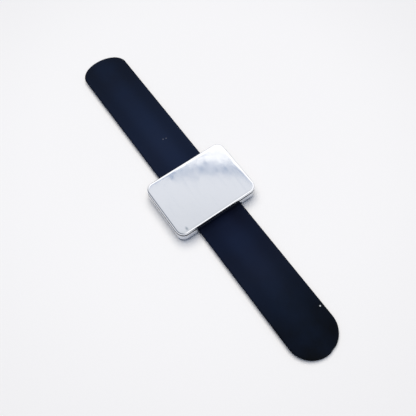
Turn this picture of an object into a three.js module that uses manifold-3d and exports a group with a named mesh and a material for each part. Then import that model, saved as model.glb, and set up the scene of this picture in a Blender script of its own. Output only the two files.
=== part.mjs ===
// Slap-on magnetic wristband: a silicone-covered spring band that runs through a low steel case.
// Millimetres. X runs along the band, Y across it and Z up, from the middle of the case's underside.
import * as THREE from 'three';
import { mergeVertices } from 'three/addons/utils/BufferGeometryUtils.js';
import Module from 'manifold-3d';

const wasm = await Module();
wasm.setup();

// Band, as it lies flat
const bandLength = 235;
const bandWidth = 30;
const bandThickness = 2.2;
const bandCamber = 0.8; // rise of the band's long edges over its middle, as in a measuring tape
const caseShift = 3.2; // the case sits this far from the band's middle, towards the right end
const rightEndRound = 14.4; // length of the round end, along the band
const leftEndRound = 11;
const exitLength = 1.8; // straight band between the case's wall and the first bend

// Spring strip inside the sleeve
const springWidth = 25;
const springThickness = 0.3;
const springClearance = 0.25;
const springSetback = 3; // from the sleeve's tip to the strip's
const springEndRound = 8;

// How the band bends: each half turns at evenly spaced lines on its underside
const linksPerHalf = 8;
const tipLength = 16.4;
const linkGap = 0.3;

// Case
const caseLength = 38.4;
const caseWidth = 54;
const caseHeight = 10.4;
const caseCornerRadius = 5;
const sheetThickness = 0.8; // pressed steel of lid and lower shell
const lidHeight = 1.9;
const lidEdgeRadius = 1.2;
const lidLipRadius = 0.2;
const shellBottomRadius = 2.4;
const shellShoulderRadius = 0.1;
const partingHeight = 1.3; // the dark line between lid and lower shell
const partingSetback = 0.05;
const fitClearance = 0.3;
const slotSideClearance = 0.6;
const slotCornerRadius = 0.8;

// Inside the case
const adhesiveThickness = 0.2;
const adhesiveSetback = 1.8;
const keeperThickness = 1;
const keeperCornerRadius = 1;
const magnetWidth = 19.2;
const magnetGap = 0.6;
const magnetChamfer = 0.3;
const carrierFloor = 1;
const carrierWall = 1.2;
const gripRibThickness = 1;
const gripRibWidth = 26;
const gripRibSpacing = 12;

// Fasteners
const screwInset = 5.2; // from the case's walls to each screw's axis
const screwLength = 4.8;
const screwRadius = 0.8;
const screwHeadRadius = 1.5;
const screwHeadRim = 0.1;
const screwRecessWidth = 0.4;
const screwRecessLength = 1.8;
const screwRecessDepth = 0.45;
const screwClearance = 0.15;
const screwHoleSpare = 0.3; // depth of each blind hole past the screw's point
const bossRadius = 2;

// Shared by every cut, so that it clears the surface it starts from
const overrun = 1;

// Facets
const cornerSteps = 7;
const edgeSteps = 3;
const acrossSteps = 5;
const endSteps = 16;
const screwSides = 16;

// Heights, from the floor up
const bandBase = sheetThickness + fitClearance;
const carrierBase = bandBase + bandThickness + bandCamber + fitClearance;
const keeperBase = carrierBase + carrierFloor;
const magnetBase = keeperBase + keeperThickness;
const lidBase = caseHeight - lidHeight;
const shellHeight = lidBase - partingHeight;
const adhesiveBase = caseHeight - sheetThickness - adhesiveThickness;
const magnetHeight = adhesiveBase - magnetBase;

// Places in plan
const carrierSetback = sheetThickness + fitClearance;
const pocketLength = caseLength - 2 * (carrierSetback + carrierWall);
const pocketWidth = 2 * (magnetWidth + fitClearance) + magnetGap;
const magnetLength = pocketLength - 2 * fitClearance;
const hingeStart = caseLength / 2 + exitLength;
const rightReach = bandLength / 2 - caseShift;
const leftReach = bandLength / 2 + caseShift;
const screwX = caseLength / 2 - screwInset;
const screwY = caseWidth / 2 - screwInset;
const screwHeadHeight = screwHeadRadius - screwRadius + screwHeadRim;

// Finishes
function finish(color, roughness, metalness) {
  return new THREE.MeshStandardMaterial({ color, roughness, metalness });
}

const silicone = finish('#1a2232', 0.7, 0);
const polishedSteel = finish('#dcdfe6', 0.2, 1);
const springSteel = finish('#7d8792', 0.35, 1);
const zincPlate = finish('#b9bec4', 0.4, 1);
const ferrite = finish('#3a3b3e', 0.8, 0);
const blackPlastic = finish('#17181b', 0.6, 0);
const adhesive = finish('#d8d4c6', 0.6, 0);

// A closed geometry from lists of corner points and of triangles that name them
function facetedGeometry(points, triangles) {
  const geometry = new THREE.BufferGeometry();
  const positions = points.flatMap((point) => [point.x, point.y, point.z]);
  geometry.setAttribute('position', new THREE.Float32BufferAttribute(positions, 3));
  geometry.setIndex(triangles.flat());
  geometry.computeVertexNormals();
  return geometry;
}

// Boolean helpers
function toSolid(geometry) {
  const bare = geometry.clone();
  bare.deleteAttribute('normal');
  bare.deleteAttribute('uv');
  const merged = mergeVertices(bare);
  const vertProperties = new Float32Array(merged.attributes.position.array);
  const triVerts = new Uint32Array(merged.index.array);
  return new wasm.Manifold(new wasm.Mesh({ numProp: 3, vertProperties, triVerts }));
}

function toGeometry(solid) {
  const mesh = solid.getMesh();
  const geometry = new THREE.BufferGeometry();
  geometry.setAttribute('position', new THREE.BufferAttribute(mesh.vertProperties, 3));
  geometry.setIndex(new THREE.BufferAttribute(mesh.triVerts, 1));
  geometry.computeVertexNormals();
  return geometry;
}

function joined(geometries) {
  return toGeometry(geometries.map(toSolid).reduce((all, next) => all.add(next)));
}

function cut(geometry, tools) {
  return toGeometry(tools.map(toSolid).reduce((left, tool) => left.subtract(tool), toSolid(geometry)));
}

// Rounded rectangle at one height, counter-clockwise, as three-dimensional points
function roundedOutline(sizeX, sizeY, radius, height) {
  const outline = [];
  for (let corner = 0; corner < 4; corner += 1) {
    const signX = corner === 0 || corner === 3 ? 1 : -1;
    const signY = corner < 2 ? 1 : -1;
    for (let step = 0; step <= cornerSteps; step += 1) {
      const angle = (corner + step / cornerSteps) * Math.PI / 2;
      const x = signX * (sizeX / 2 - radius) + radius * Math.cos(angle);
      const y = signY * (sizeY / 2 - radius) + radius * Math.sin(angle);
      outline.push(new THREE.Vector3(x, y, height));
    }
  }
  return outline;
}

// The case's own outline, drawn in by an inset
function caseOutline(inset, height) {
  return roundedOutline(caseLength - 2 * inset, caseWidth - 2 * inset, caseCornerRadius - inset, height);
}

// Case outlines along a round edge: the round's centre lies inset from the wall, at a height, and the
// angle is 0 where the edge meets the wall, a quarter turn up at a top face and down at a bottom face
function roundedEdge(radius, centreInset, centreHeight, fromAngle, toAngle) {
  const levels = [];
  for (let step = 0; step <= edgeSteps; step += 1) {
    const angle = fromAngle + (toAngle - fromAngle) * step / edgeSteps;
    const inset = centreInset - radius * Math.cos(angle);
    levels.push(caseOutline(inset, centreHeight + radius * Math.sin(angle)));
  }
  return levels;
}

function middleOf(outline) {
  const sum = new THREE.Vector3();
  outline.forEach((point) => sum.add(point));
  return sum.divideScalar(outline.length);
}

// Solid through a row of outlines, closed by a flat cap on the first and the last. Outlines that climb
// give an outer wall, and outlines that then go down give a hollow's wall.
function lofted(levels) {
  const count = levels[0].length;
  const points = levels.flat();
  const triangles = [];
  const around = (level, place) => level * count + place % count;
  for (let level = 0; level + 1 < levels.length; level += 1) {
    for (let place = 0; place < count; place += 1) {
      const low = around(level, place);
      const lowNext = around(level, place + 1);
      const high = around(level + 1, place);
      const highNext = around(level + 1, place + 1);
      triangles.push([low, lowNext, highNext], [low, highNext, high]);
    }
  }
  const lastLevel = levels.length - 1;
  const firstMiddle = points.push(middleOf(levels[0])) - 1;
  const lastMiddle = points.push(middleOf(levels[lastLevel])) - 1;
  for (let place = 0; place < count; place += 1) {
    triangles.push([firstMiddle, around(0, place + 1), around(0, place)]);
    triangles.push([lastMiddle, around(lastLevel, place), around(lastLevel, place + 1)]);
  }
  return facetedGeometry(points, triangles);
}

function roundedBlock(sizeX, sizeY, radius, bottom, top) {
  return lofted([roundedOutline(sizeX, sizeY, radius, bottom), roundedOutline(sizeX, sizeY, radius, top)]);
}

function caseBlock(inset, bottom, top) {
  return lofted([caseOutline(inset, bottom), caseOutline(inset, top)]);
}

// Height of the band's middle layer over its own lowest line
function camberRise(y) {
  return bandCamber * (y / (bandWidth / 2)) ** 2;
}

// Stations from the middle of a strip to its edge, as distances from the middle: even steps, then a
// finer stretch where the edge rounds over
function acrossStations(halfWidth, edgeRadius) {
  const flat = halfWidth - edgeRadius;
  const stations = [];
  for (let step = 0; step < acrossSteps; step += 1) {
    stations.push(flat * step / acrossSteps);
  }
  for (let step = 0; step <= edgeSteps; step += 1) {
    stations.push(flat + edgeRadius * Math.sin(step / edgeSteps * Math.PI / 2));
  }
  return stations;
}

// A stretch of cambered strip between two places along X, with its edges rounded over half its thickness.
// With an endRound its far end is half an ellipse that long, and otherwise both ends are cut square.
function stripGeometry({ width, thickness, middle, from, to, endRound }) {
  const halfWidth = width / 2;
  const edgeRadius = thickness / 2;
  const stations = acrossStations(halfWidth, edgeRadius);
  const rim = stations.length - 1;
  const straightEnd = to - endRound;
  const top = [];
  const bottom = [];
  const points = [];
  const triangles = [];

  // Adds the pair of points over and under one place; they are one point on the strip's edge
  function addPair(x, y, edgeDistance) {
    const inwards = Math.min(edgeDistance / edgeRadius, 1);
    const rise = edgeRadius * Math.sqrt(1 - (1 - inwards) ** 2);
    const height = middle + camberRise(y);
    const onEdge = edgeDistance === 0;
    top.push(points.push(new THREE.Vector3(x, y, onEdge ? height : height + rise)) - 1);
    bottom.push(onEdge ? points.length - 1 : points.push(new THREE.Vector3(x, y, height - rise)) - 1);
    return top.length - 1;
  }

  function addTriangle(a, b, c) {
    if (a !== b && b !== c && c !== a) {
      triangles.push([a, b, c]);
    }
  }

  // Skins over and under a four-sided patch whose corners run counter-clockwise from above
  function addPatch(a, b, c, d) {
    addTriangle(top[a], top[b], top[c]);
    addTriangle(top[a], top[c], top[d]);
    addTriangle(bottom[a], bottom[c], bottom[b]);
    addTriangle(bottom[a], bottom[d], bottom[c]);
  }

  // Square face across the strip; it looks towards -X where its rows run from -Y to +Y
  function addFace(row) {
    for (let place = 0; place + 1 < row.length; place += 1) {
      const near = row[place];
      const next = row[place + 1];
      addTriangle(top[near], top[next], bottom[next]);
      addTriangle(top[near], bottom[next], bottom[near]);
    }
  }

  function addRow(x) {
    const row = [];
    for (let place = -rim; place <= rim; place += 1) {
      const station = stations[Math.abs(place)];
      row.push(addPair(x, Math.sign(place) * station, Math.abs(place) === rim ? 0 : halfWidth - station));
    }
    return row;
  }

  const firstRow = addRow(from);
  const lastRow = addRow(straightEnd);
  for (let place = 0; place < 2 * rim; place += 1) {
    addPatch(firstRow[place], lastRow[place], lastRow[place + 1], firstRow[place + 1]);
  }
  addFace(firstRow);
  if (endRound === 0) {
    addFace([...lastRow].reverse());
    return facetedGeometry(points, triangles);
  }

  // Spokes of the round end turn from the -Y edge, past the tip, to the +Y edge
  const centre = lastRow[rim];
  const spokes = [lastRow.slice(0, rim).reverse()];
  for (let step = 1; step < endSteps; step += 1) {
    const angle = (step / endSteps - 1 / 2) * Math.PI;
    const reachX = endRound * Math.cos(angle);
    const reachY = halfWidth * Math.sin(angle);
    const spokeLength = Math.hypot(reachX, reachY);
    spokes.push(stations.slice(1).map((station, place) => {
      const share = station / halfWidth;
      const edgeDistance = place === rim - 1 ? 0 : (1 - share) * spokeLength;
      return addPair(straightEnd + reachX * share, reachY * share, edgeDistance);
    }));
  }
  spokes.push(lastRow.slice(rim + 1));
  for (let step = 0; step < endSteps; step += 1) {
    const spoke = spokes[step];
    const nextSpoke = spokes[step + 1];
    addPatch(centre, centre, spoke[0], nextSpoke[0]);
    for (let place = 0; place + 1 < rim; place += 1) {
      addPatch(spoke[place], spoke[place + 1], nextSpoke[place + 1], nextSpoke[place]);
    }
  }
  return facetedGeometry(points, triangles);
}

// The sleeve is a tube: a strip with a narrower, thinner strip of space through it for the spring
function sleeveGeometry(from, to, endRound) {
  const middle = bandThickness / 2;
  const outside = stripGeometry({ width: bandWidth, thickness: bandThickness, middle, from, to, endRound });
  const closedEnd = endRound > 0;
  const channel = stripGeometry({
    width: springWidth + 2 * springClearance,
    thickness: springThickness + 2 * springClearance,
    middle,
    from: from - overrun,
    to: closedEnd ? to - springSetback + springClearance : to + overrun,
    endRound: closedEnd ? springEndRound + springClearance : 0,
  });
  return cut(outside, [channel]);
}

function springGeometry(from, to, endRound) {
  const closedEnd = endRound > 0;
  return stripGeometry({
    width: springWidth,
    thickness: springThickness,
    middle: bandThickness / 2,
    from,
    to: closedEnd ? to - springSetback : to,
    endRound: closedEnd ? springEndRound : 0,
  });
}

function piece(name, geometry, material) {
  const mesh = new THREE.Mesh(geometry, material);
  mesh.name = name;
  return mesh;
}

// One half of the band, as a chain of groups. Each group's origin is its hinge line, on the band's
// underside, and the next group hangs on it one pitch further out.
function bandHalf(side, reach, endRound) {
  const half = new THREE.Group();
  const pitch = (reach - hingeStart - tipLength) / (linksPerHalf - 1);
  let link = half;
  for (let number = 1; number <= linksPerHalf; number += 1) {
    const isTip = number === linksPerHalf;
    const to = isTip ? tipLength : pitch - linkGap / 2;
    const linkEndRound = isTip ? endRound : 0;
    link.add(piece(`sleeve_${side}_${number}`, sleeveGeometry(linkGap / 2, to, linkEndRound), silicone));
    link.add(piece(`spring_${side}_${number}`, springGeometry(linkGap / 2, to, linkEndRound), springSteel));
    if (!isTip) {
      const next = new THREE.Group();
      next.position.x = pitch;
      link.add(next);
      link = next;
    }
  }
  return half;
}

function band() {
  const group = new THREE.Group();
  const end = hingeStart - linkGap / 2;
  group.add(piece('sleeve_center', sleeveGeometry(-end, end, 0), silicone));
  group.add(piece('spring_center', springGeometry(-end, end, 0), springSteel));
  const right = bandHalf('right', rightReach, rightEndRound);
  right.position.x = hingeStart;
  const left = bandHalf('left', leftReach, leftEndRound);
  left.position.x = -hingeStart;
  left.rotation.z = Math.PI;
  group.add(right, left);
  group.position.z = bandBase;
  return group;
}

// Places of the four screws in plan
function screwPlaces() {
  return [[1, 1], [-1, 1], [-1, -1], [1, -1]].map(([signX, signY]) => [signX * screwX, signY * screwY]);
}

function atScrews(makeGeometry) {
  return screwPlaces().map(([x, y]) => makeGeometry().translate(x, y, 0));
}

// Turned outline as a solid about Z, from its radius and height points
function turned(profile) {
  const points = profile.map(([radius, height]) => new THREE.Vector2(radius, height));
  return new THREE.LatheGeometry(points, screwSides).rotateX(Math.PI / 2);
}

function pillar(radius, bottom, top) {
  return turned([[0, bottom], [radius, bottom], [radius, top], [0, top]]);
}

// Countersunk screw, point up, with its head's face on the plane z = 0; with a clearance, a hole's shape
function screwShape(clearance, bottom, top) {
  const head = screwHeadRadius + clearance;
  const shank = screwRadius + clearance;
  return turned([
    [0, bottom],
    [head, bottom],
    [head, screwHeadRim],
    [shank, screwHeadHeight],
    [shank, top],
    [0, top],
  ]);
}

// Pressed lid: a shallow tray, open downwards, with a rolled upper edge
function lid() {
  const roundInset = lidEdgeRadius;
  const roundHeight = lidHeight - lidEdgeRadius;
  const levels = [
    ...roundedEdge(lidEdgeRadius - sheetThickness, roundInset, roundHeight, Math.PI / 2, 0),
    caseOutline(sheetThickness, 0),
    ...roundedEdge(lidLipRadius, lidLipRadius, lidLipRadius, -Math.PI / 2, 0),
    ...roundedEdge(lidEdgeRadius, roundInset, roundHeight, 0, Math.PI / 2),
  ];
  const mesh = piece('lid', lofted(levels), polishedSteel);
  mesh.position.z = lidBase;
  return mesh;
}

// Pressed pan with a slot in each long wall for the band, and four countersunk holes in its floor
function lowerShell() {
  const innerRound = shellBottomRadius - sheetThickness;
  const shoulderHeight = shellHeight - shellShoulderRadius;
  const levels = [
    ...roundedEdge(shellBottomRadius, shellBottomRadius, shellBottomRadius, -Math.PI / 2, 0),
    ...roundedEdge(shellShoulderRadius, shellShoulderRadius, shoulderHeight, 0, Math.PI / 2),
    caseOutline(sheetThickness, shellHeight),
    ...roundedEdge(innerRound, shellBottomRadius, shellBottomRadius, 0, -Math.PI / 2),
  ];
  const slotHeight = carrierBase - sheetThickness;
  const slotWidth = bandWidth + 2 * slotSideClearance;
  const slot = roundedBlock(slotHeight, slotWidth, slotCornerRadius, -caseLength, caseLength);
  slot.rotateY(Math.PI / 2);
  slot.translate(0, 0, sheetThickness + slotHeight / 2);
  const holes = atScrews(() => screwShape(screwClearance, -overrun, sheetThickness + overrun));
  return piece('lower_shell', cut(lofted(levels), [slot, ...holes]), polishedSteel);
}

// Rib under the carrier's floor; its lower side follows the band's camber and keeps the sleeve in place
function gripRib(x) {
  const half = gripRibWidth / 2;
  const crown = camberRise(half);
  const bandTop = bandBase + bandThickness + fitClearance - carrierBase;
  const section = new THREE.Shape();
  section.moveTo(-half, carrierFloor / 2);
  section.lineTo(-half, bandTop + crown);
  section.quadraticCurveTo(0, bandTop - crown, half, bandTop + crown);
  section.lineTo(half, carrierFloor / 2);
  const depth = gripRibThickness;
  const rib = new THREE.ExtrudeGeometry(section, { depth, bevelEnabled: false, curveSegments: cornerSteps });
  rib.translate(0, 0, -depth / 2);
  rib.rotateX(Math.PI / 2);
  rib.rotateZ(Math.PI / 2);
  return rib.translate(x, 0, 0);
}

// Moulded carrier: a tray for keeper and magnets, with the flange that parts lid from lower shell, a
// screw boss in each corner and ribs over the band
function carrier() {
  const wallTop = adhesiveBase - carrierBase;
  const bossBottom = sheetThickness - carrierBase;
  const endRoomWidth = (caseWidth - 2 * (carrierSetback + carrierWall) - pocketWidth) / 2 - carrierWall;
  const endRoomY = pocketWidth / 2 + carrierWall + endRoomWidth / 2;
  const roomTop = wallTop + overrun;
  const endRoom = () => roundedBlock(pocketLength, endRoomWidth, carrierWall, carrierFloor, roomTop);
  const solid = joined([
    caseBlock(carrierSetback, 0, wallTop),
    caseBlock(partingSetback, shellHeight - carrierBase, lidBase - carrierBase),
    ...atScrews(() => pillar(bossRadius, bossBottom, carrierFloor)),
    ...[-gripRibSpacing, 0, gripRibSpacing].map(gripRib),
  ]);
  const screwTop = screwLength + screwHoleSpare - carrierBase;
  const hollow = cut(solid, [
    roundedBlock(pocketLength, pocketWidth, keeperCornerRadius, carrierFloor, roomTop),
    endRoom().translate(0, endRoomY, 0),
    endRoom().translate(0, -endRoomY, 0),
    ...atScrews(() => pillar(screwRadius + screwClearance, bossBottom - overrun, screwTop)),
  ]);
  const mesh = piece('carrier', hollow, blackPlastic);
  mesh.position.z = carrierBase;
  return mesh;
}

function keeperPlate() {
  const width = 2 * magnetWidth + magnetGap;
  const plate = roundedBlock(magnetLength, width, keeperCornerRadius, 0, keeperThickness);
  const mesh = piece('keeper_plate', plate, zincPlate);
  mesh.position.z = keeperBase;
  return mesh;
}

// Sintered block magnet with its upright and its upper edges broken
function magnet(name, side) {
  const inner = 2 * magnetChamfer;
  const block = lofted([
    roundedOutline(magnetLength, magnetWidth, magnetChamfer, 0),
    roundedOutline(magnetLength, magnetWidth, magnetChamfer, magnetHeight - magnetChamfer),
    roundedOutline(magnetLength - inner, magnetWidth - inner, magnetChamfer, magnetHeight),
  ]);
  const mesh = piece(name, block, ferrite);
  mesh.position.set(0, side * (magnetGap + magnetWidth) / 2, magnetBase);
  return mesh;
}

function adhesiveSheet() {
  const mesh = piece('adhesive_sheet', caseBlock(adhesiveSetback, 0, adhesiveThickness), adhesive);
  mesh.position.z = adhesiveBase;
  return mesh;
}

// Four countersunk screws, each with a cross recess in its head
function caseScrews() {
  const bar = (sizeX, sizeY) => new THREE.BoxGeometry(sizeX, sizeY, 2 * screwRecessDepth);
  const geometry = cut(screwShape(0, 0, screwLength), [
    bar(screwRecessLength, screwRecessWidth),
    bar(screwRecessWidth, screwRecessLength),
  ]);
  return screwPlaces().map(([x, y], index) => {
    const mesh = piece(`case_screw_${index + 1}`, geometry, zincPlate);
    mesh.position.set(x, y, 0);
    return mesh;
  });
}

function wristCase() {
  const group = new THREE.Group();
  group.add(lowerShell(), ...caseScrews(), carrier(), keeperPlate());
  group.add(magnet('magnet_front', -1), magnet('magnet_back', 1), adhesiveSheet(), lid());
  return group;
}

const wristband = new THREE.Group();
wristband.add(wristCase(), band());

export default wristband;
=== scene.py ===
import math
import bmesh
import bpy
import numpy as np
from mathutils import Matrix


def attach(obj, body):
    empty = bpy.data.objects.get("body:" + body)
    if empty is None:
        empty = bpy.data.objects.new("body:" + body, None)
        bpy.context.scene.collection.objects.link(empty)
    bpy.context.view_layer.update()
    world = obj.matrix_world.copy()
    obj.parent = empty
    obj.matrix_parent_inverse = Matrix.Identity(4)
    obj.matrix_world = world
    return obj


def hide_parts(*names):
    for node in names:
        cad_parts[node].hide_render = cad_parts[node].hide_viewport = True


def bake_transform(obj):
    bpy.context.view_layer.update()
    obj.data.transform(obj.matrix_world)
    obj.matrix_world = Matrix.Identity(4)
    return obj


# Looks of a magnetic pin wristband: a silicone-sleeved spring band through a pressed steel case.
# Shapes are written in millimetres and go into their meshes in metres.
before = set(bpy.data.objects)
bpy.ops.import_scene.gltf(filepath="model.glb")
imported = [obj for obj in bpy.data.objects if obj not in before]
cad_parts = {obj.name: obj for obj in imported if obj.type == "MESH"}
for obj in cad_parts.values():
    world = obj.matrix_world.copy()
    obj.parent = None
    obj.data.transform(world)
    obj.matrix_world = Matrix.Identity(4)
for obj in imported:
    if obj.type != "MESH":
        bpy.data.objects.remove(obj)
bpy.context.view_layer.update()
mm = 0.001
meetDistance = 2e-7     # points nearer than this are merged, in metres
thinnestFace = 1e-8     # and what is thinner than this is taken out


# Each channel of the sRGB hex colour goes through the sRGB curve to linear light
def linear(hexColour):
    channels = np.array([int(hexColour[place:place + 2], 16) for place in (1, 3, 5)]) / 255
    curved = np.where(channels <= 0.04045, channels / 12.92, ((channels + 0.055) / 1.055) ** 2.4)
    return (*curved.tolist(), 1.0)


# Links the inputs of a node that are given a socket or a node, which stands for its first output,
# and sets the others to their value
def fillInputs(tree, node, inputs):
    for name, value in inputs.items():
        if isinstance(value, bpy.types.Node):
            value = value.outputs[0]
        if isinstance(value, bpy.types.NodeSocket):
            tree.links.new(value, node.inputs[name])
        else:
            node.inputs[name].default_value = value


# Adds a shader node of a kind such as TexNoise, sets its own properties and fills its inputs
def addNode(tree, kind, inputs=None, **settings):
    node = tree.nodes.new("ShaderNode" + kind)
    for name, value in settings.items():
        setattr(node, name, value)
    fillInputs(tree, node, inputs or {})
    return node


# The two ends of a Map Range node's From or To, from a pair of values in a unit
def ends(way, span, unit=1.0):
    return {f"{way} Min": span[0] * unit, f"{way} Max": span[1] * unit}


# Puts colour stops, given as place and hex colour, on a ramp node
def setStops(ramp, stops):
    while len(ramp.elements) < len(stops):
        ramp.elements.new(1.0)
    for element, (place, hexColour) in zip(ramp.elements, stops):
        element.position = place
        element.color = linear(hexColour)


# A blank material with its Principled shader, ready for a finish
def newFinish(name):
    material = bpy.data.materials.new(name)
    material.use_nodes = True
    tree = material.node_tree
    tree.nodes.clear()
    output = tree.nodes.new("ShaderNodeOutputMaterial")
    shader = tree.nodes.new("ShaderNodeBsdfPrincipled")
    tree.links.new(shader.outputs["BSDF"], output.inputs["Surface"])
    return material, tree, shader


# Quads of a grid whose columns run round and close: each joins two rows and two columns, and looks
# along (next column) x (next row). With closeRows the last row joins the first.
def gridFaces(rows, columns, closeRows=False):
    row = np.arange(rows if closeRows else rows - 1)[:, None]
    column = np.arange(columns)[None, :]
    after = (row + 1) % rows
    beside = (column + 1) % columns
    corners = (row * columns + column, row * columns + beside,
               after * columns + beside, after * columns + column)
    spread = [np.broadcast_to(part, (row.size, columns)) for part in corners]
    return np.stack(spread, axis=-1).reshape(-1, 4)


# Quads that close a square-cut end of a flat strip, from its upper line to its lower line
def cutFaces(firstPoint, columns, forward):
    over = np.arange(columns // 2)
    under = (columns - over) % columns
    quads = np.stack([over, over + 1, (columns - over - 1) % columns, under], axis=-1) + firstPoint
    return quads if forward else quads[:, ::-1]


# Makes a closed piece from points in millimetres and its quads. Points that meet are merged, which
# closes seams and poles, and edges sharper than the angle stay crisp.
def makePiece(name, points, quads, materials, crispAngle=35, place=None):
    mesh = bpy.data.meshes.new(name)
    mesh.from_pydata((points.reshape(-1, 3) * mm).tolist(), [], quads.tolist())
    if place is not None:
        attribute = mesh.attributes.new("flatPlace", "FLOAT_VECTOR", "POINT")
        attribute.data.foreach_set("vector", (place.reshape(-1, 3) * mm).astype(np.float32).ravel())
    build = bmesh.new()
    build.from_mesh(mesh)
    bmesh.ops.remove_doubles(build, verts=build.verts, dist=meetDistance)
    bmesh.ops.dissolve_degenerate(build, edges=build.edges, dist=thinnestFace)
    build.to_mesh(mesh)
    build.free()
    mesh.polygons.foreach_set("use_smooth", np.ones(len(mesh.polygons), dtype=bool))
    mesh.set_sharp_from_angle(angle=math.radians(crispAngle))
    for material in materials:
        mesh.materials.append(material)
    mesh.update()
    piece = bpy.data.objects.new(name, mesh)
    bpy.context.scene.collection.objects.link(piece)
    return piece


# Silicone rubber, compression moulded in a shot-blasted tool: matt and blue-black, with a fine
# grain, a faint pale bloom in broad patches, dust that clings to it, one small nick near the right
# tip and two faint specks in the left half
siliconeLook = {
    # the tones along the band are painted light and shade: paler over the far half, darker towards
    # the tips and darkest at the near right one, with a dark dip of painted shadow just past the
    # case's +X wall
    "tones": [(0.0, "#0b111e"), (0.12, "#11192b"), (0.32, "#192238"), (0.5, "#161f36"),
              (0.6, "#0a0e20"), (0.66, "#12182c"), (0.76, "#151c2e"), (0.86, "#0b111c"),
              (0.96, "#04070d")],
    "paintedLightSpan": (-120, 115),        # the tones run along the band between these places
    "shadedEdgeShare": 0.70,              # what the edges keep of the middle's tone, as painted shade
    "shadedEdgeSpan": (1.5, 10.5),        # and how far from the centre line they fade in
    "bloomColour": "#1b2740",
    "bloomSize": 24,
    "bloomShare": 0.35,
    "bloomSpan": (0.35, 0.7),       # of the noise: none under the first, in full over the second
    "grainSize": 0.35,
    "grainDepth": 0.012,
    "roughness": (0.55, 0.68),      # bare and bloomed
    "mattSpan": (0.3, 0.7),
    "dustColour": "#5d6774",
    "dustSpacing": 7,
    "dustSize": 0.28,
    "dustCells": (0.72, 0.95),      # the cells whose random number is over these hold dust
    "dustShare": 0.8,
    "dustCore": 0.4,                # share of a grain's radius that has its full strength
    "nickColour": "#dfe4ea",
    "nickCore": 0.45,               # and of a nick's
    "nicks": [((92.3, 12.8, 3.6), 0.62, 1.0),      # place, radius and strength
              ((-43.8, 1.9, 3.3), 0.42, 0.22), ((-43.3, 3.8, 3.3), 0.42, 0.18)],
}


def siliconeFinish(look):
    material, tree, shader = newFinish("matt_moulded_silicone")
    place = addNode(tree, "Attribute", attribute_name="flatPlace").outputs["Vector"]
    grain = addNode(tree, "TexNoise", {
        "Vector": place, "Scale": 1 / (look["grainSize"] * mm), "Detail": 3.0, "Roughness": 0.6})
    bloom = addNode(tree, "TexNoise", {
        "Vector": place, "Scale": 1 / (look["bloomSize"] * mm), "Detail": 4.0, "Roughness": 0.55})
    bloomShare = addNode(tree, "MapRange", {
        "Value": bloom, **ends("From", look["bloomSpan"]), "To Max": look["bloomShare"]})
    # painted light and shade along the band: paler on the far half, blackest at the near right end,
    # and dark in the case's painted shadow just past its +X wall
    along = addNode(tree, "SeparateXYZ", {"Vector": place})
    length = addNode(tree, "MapRange", {
        "Value": along.outputs["X"], **ends("From", look["paintedLightSpan"], mm)})
    tone = addNode(tree, "ValToRGB", {"Fac": length})
    setStops(tone.color_ramp, look["tones"])
    bloomed = addNode(tree, "MixRGB", {
        "Fac": bloomShare, "Color1": tone, "Color2": linear(look["bloomColour"])})
    # painted shade: the band is darker towards its edges than along its middle
    across = addNode(tree, "Math", {0: along.outputs["Y"]}, operation="ABSOLUTE")
    paintedEdgeShade = addNode(tree, "MapRange", {
        "Value": across, **ends("From", look["shadedEdgeSpan"], mm),
        **ends("To", (1.0, look["shadedEdgeShare"]))}, interpolation_type="SMOOTHSTEP")
    shadedTone = addNode(tree, "VectorMath", {0: bloomed, "Scale": paintedEdgeShade}, operation="SCALE")
    # a grain of dust sits in some of the cells of a loose, random lattice
    cells = addNode(tree, "TexVoronoi", {
        "Vector": place, "Scale": 1 / (look["dustSpacing"] * mm), "Randomness": 1.0})
    dustReach = look["dustSize"] / look["dustSpacing"]
    dot = addNode(tree, "MapRange", {
        "Value": cells.outputs["Distance"], "From Min": dustReach,
        "From Max": look["dustCore"] * dustReach})
    cellTone = addNode(tree, "SeparateColor", {"Color": cells.outputs["Color"]})
    chosen = addNode(tree, "MapRange", {
        "Value": cellTone.outputs["Red"], **ends("From", look["dustCells"]),
        "To Max": look["dustShare"]})
    dust = addNode(tree, "Math", {0: dot, 1: chosen}, operation="MULTIPLY")
    skin = addNode(tree, "MixRGB", {
        "Fac": dust, "Color1": shadedTone, "Color2": linear(look["dustColour"])})
    for middle, size, strength in look["nicks"]:
        reach = addNode(tree, "VectorMath", {
            0: place, 1: tuple(part * mm for part in middle)}, operation="DISTANCE")
        nick = addNode(tree, "MapRange", {
            "Value": reach.outputs["Value"], "From Min": size * mm,
            "From Max": look["nickCore"] * size * mm, "To Max": strength})
        skin = addNode(tree, "MixRGB", {
            "Fac": nick, "Color1": skin, "Color2": linear(look["nickColour"])})
    matt = addNode(tree, "MapRange", {
        "Value": bloom, **ends("From", look["mattSpan"]), **ends("To", look["roughness"])})
    relief = addNode(tree, "Bump", {
        "Strength": 0.6, "Distance": look["grainDepth"] * mm, "Height": grain})
    fillInputs(tree, shader, {
        "Base Color": skin, "Roughness": matt, "Normal": relief, "IOR": 1.41,
        "Specular IOR Level": 0.08})
    return material


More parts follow.
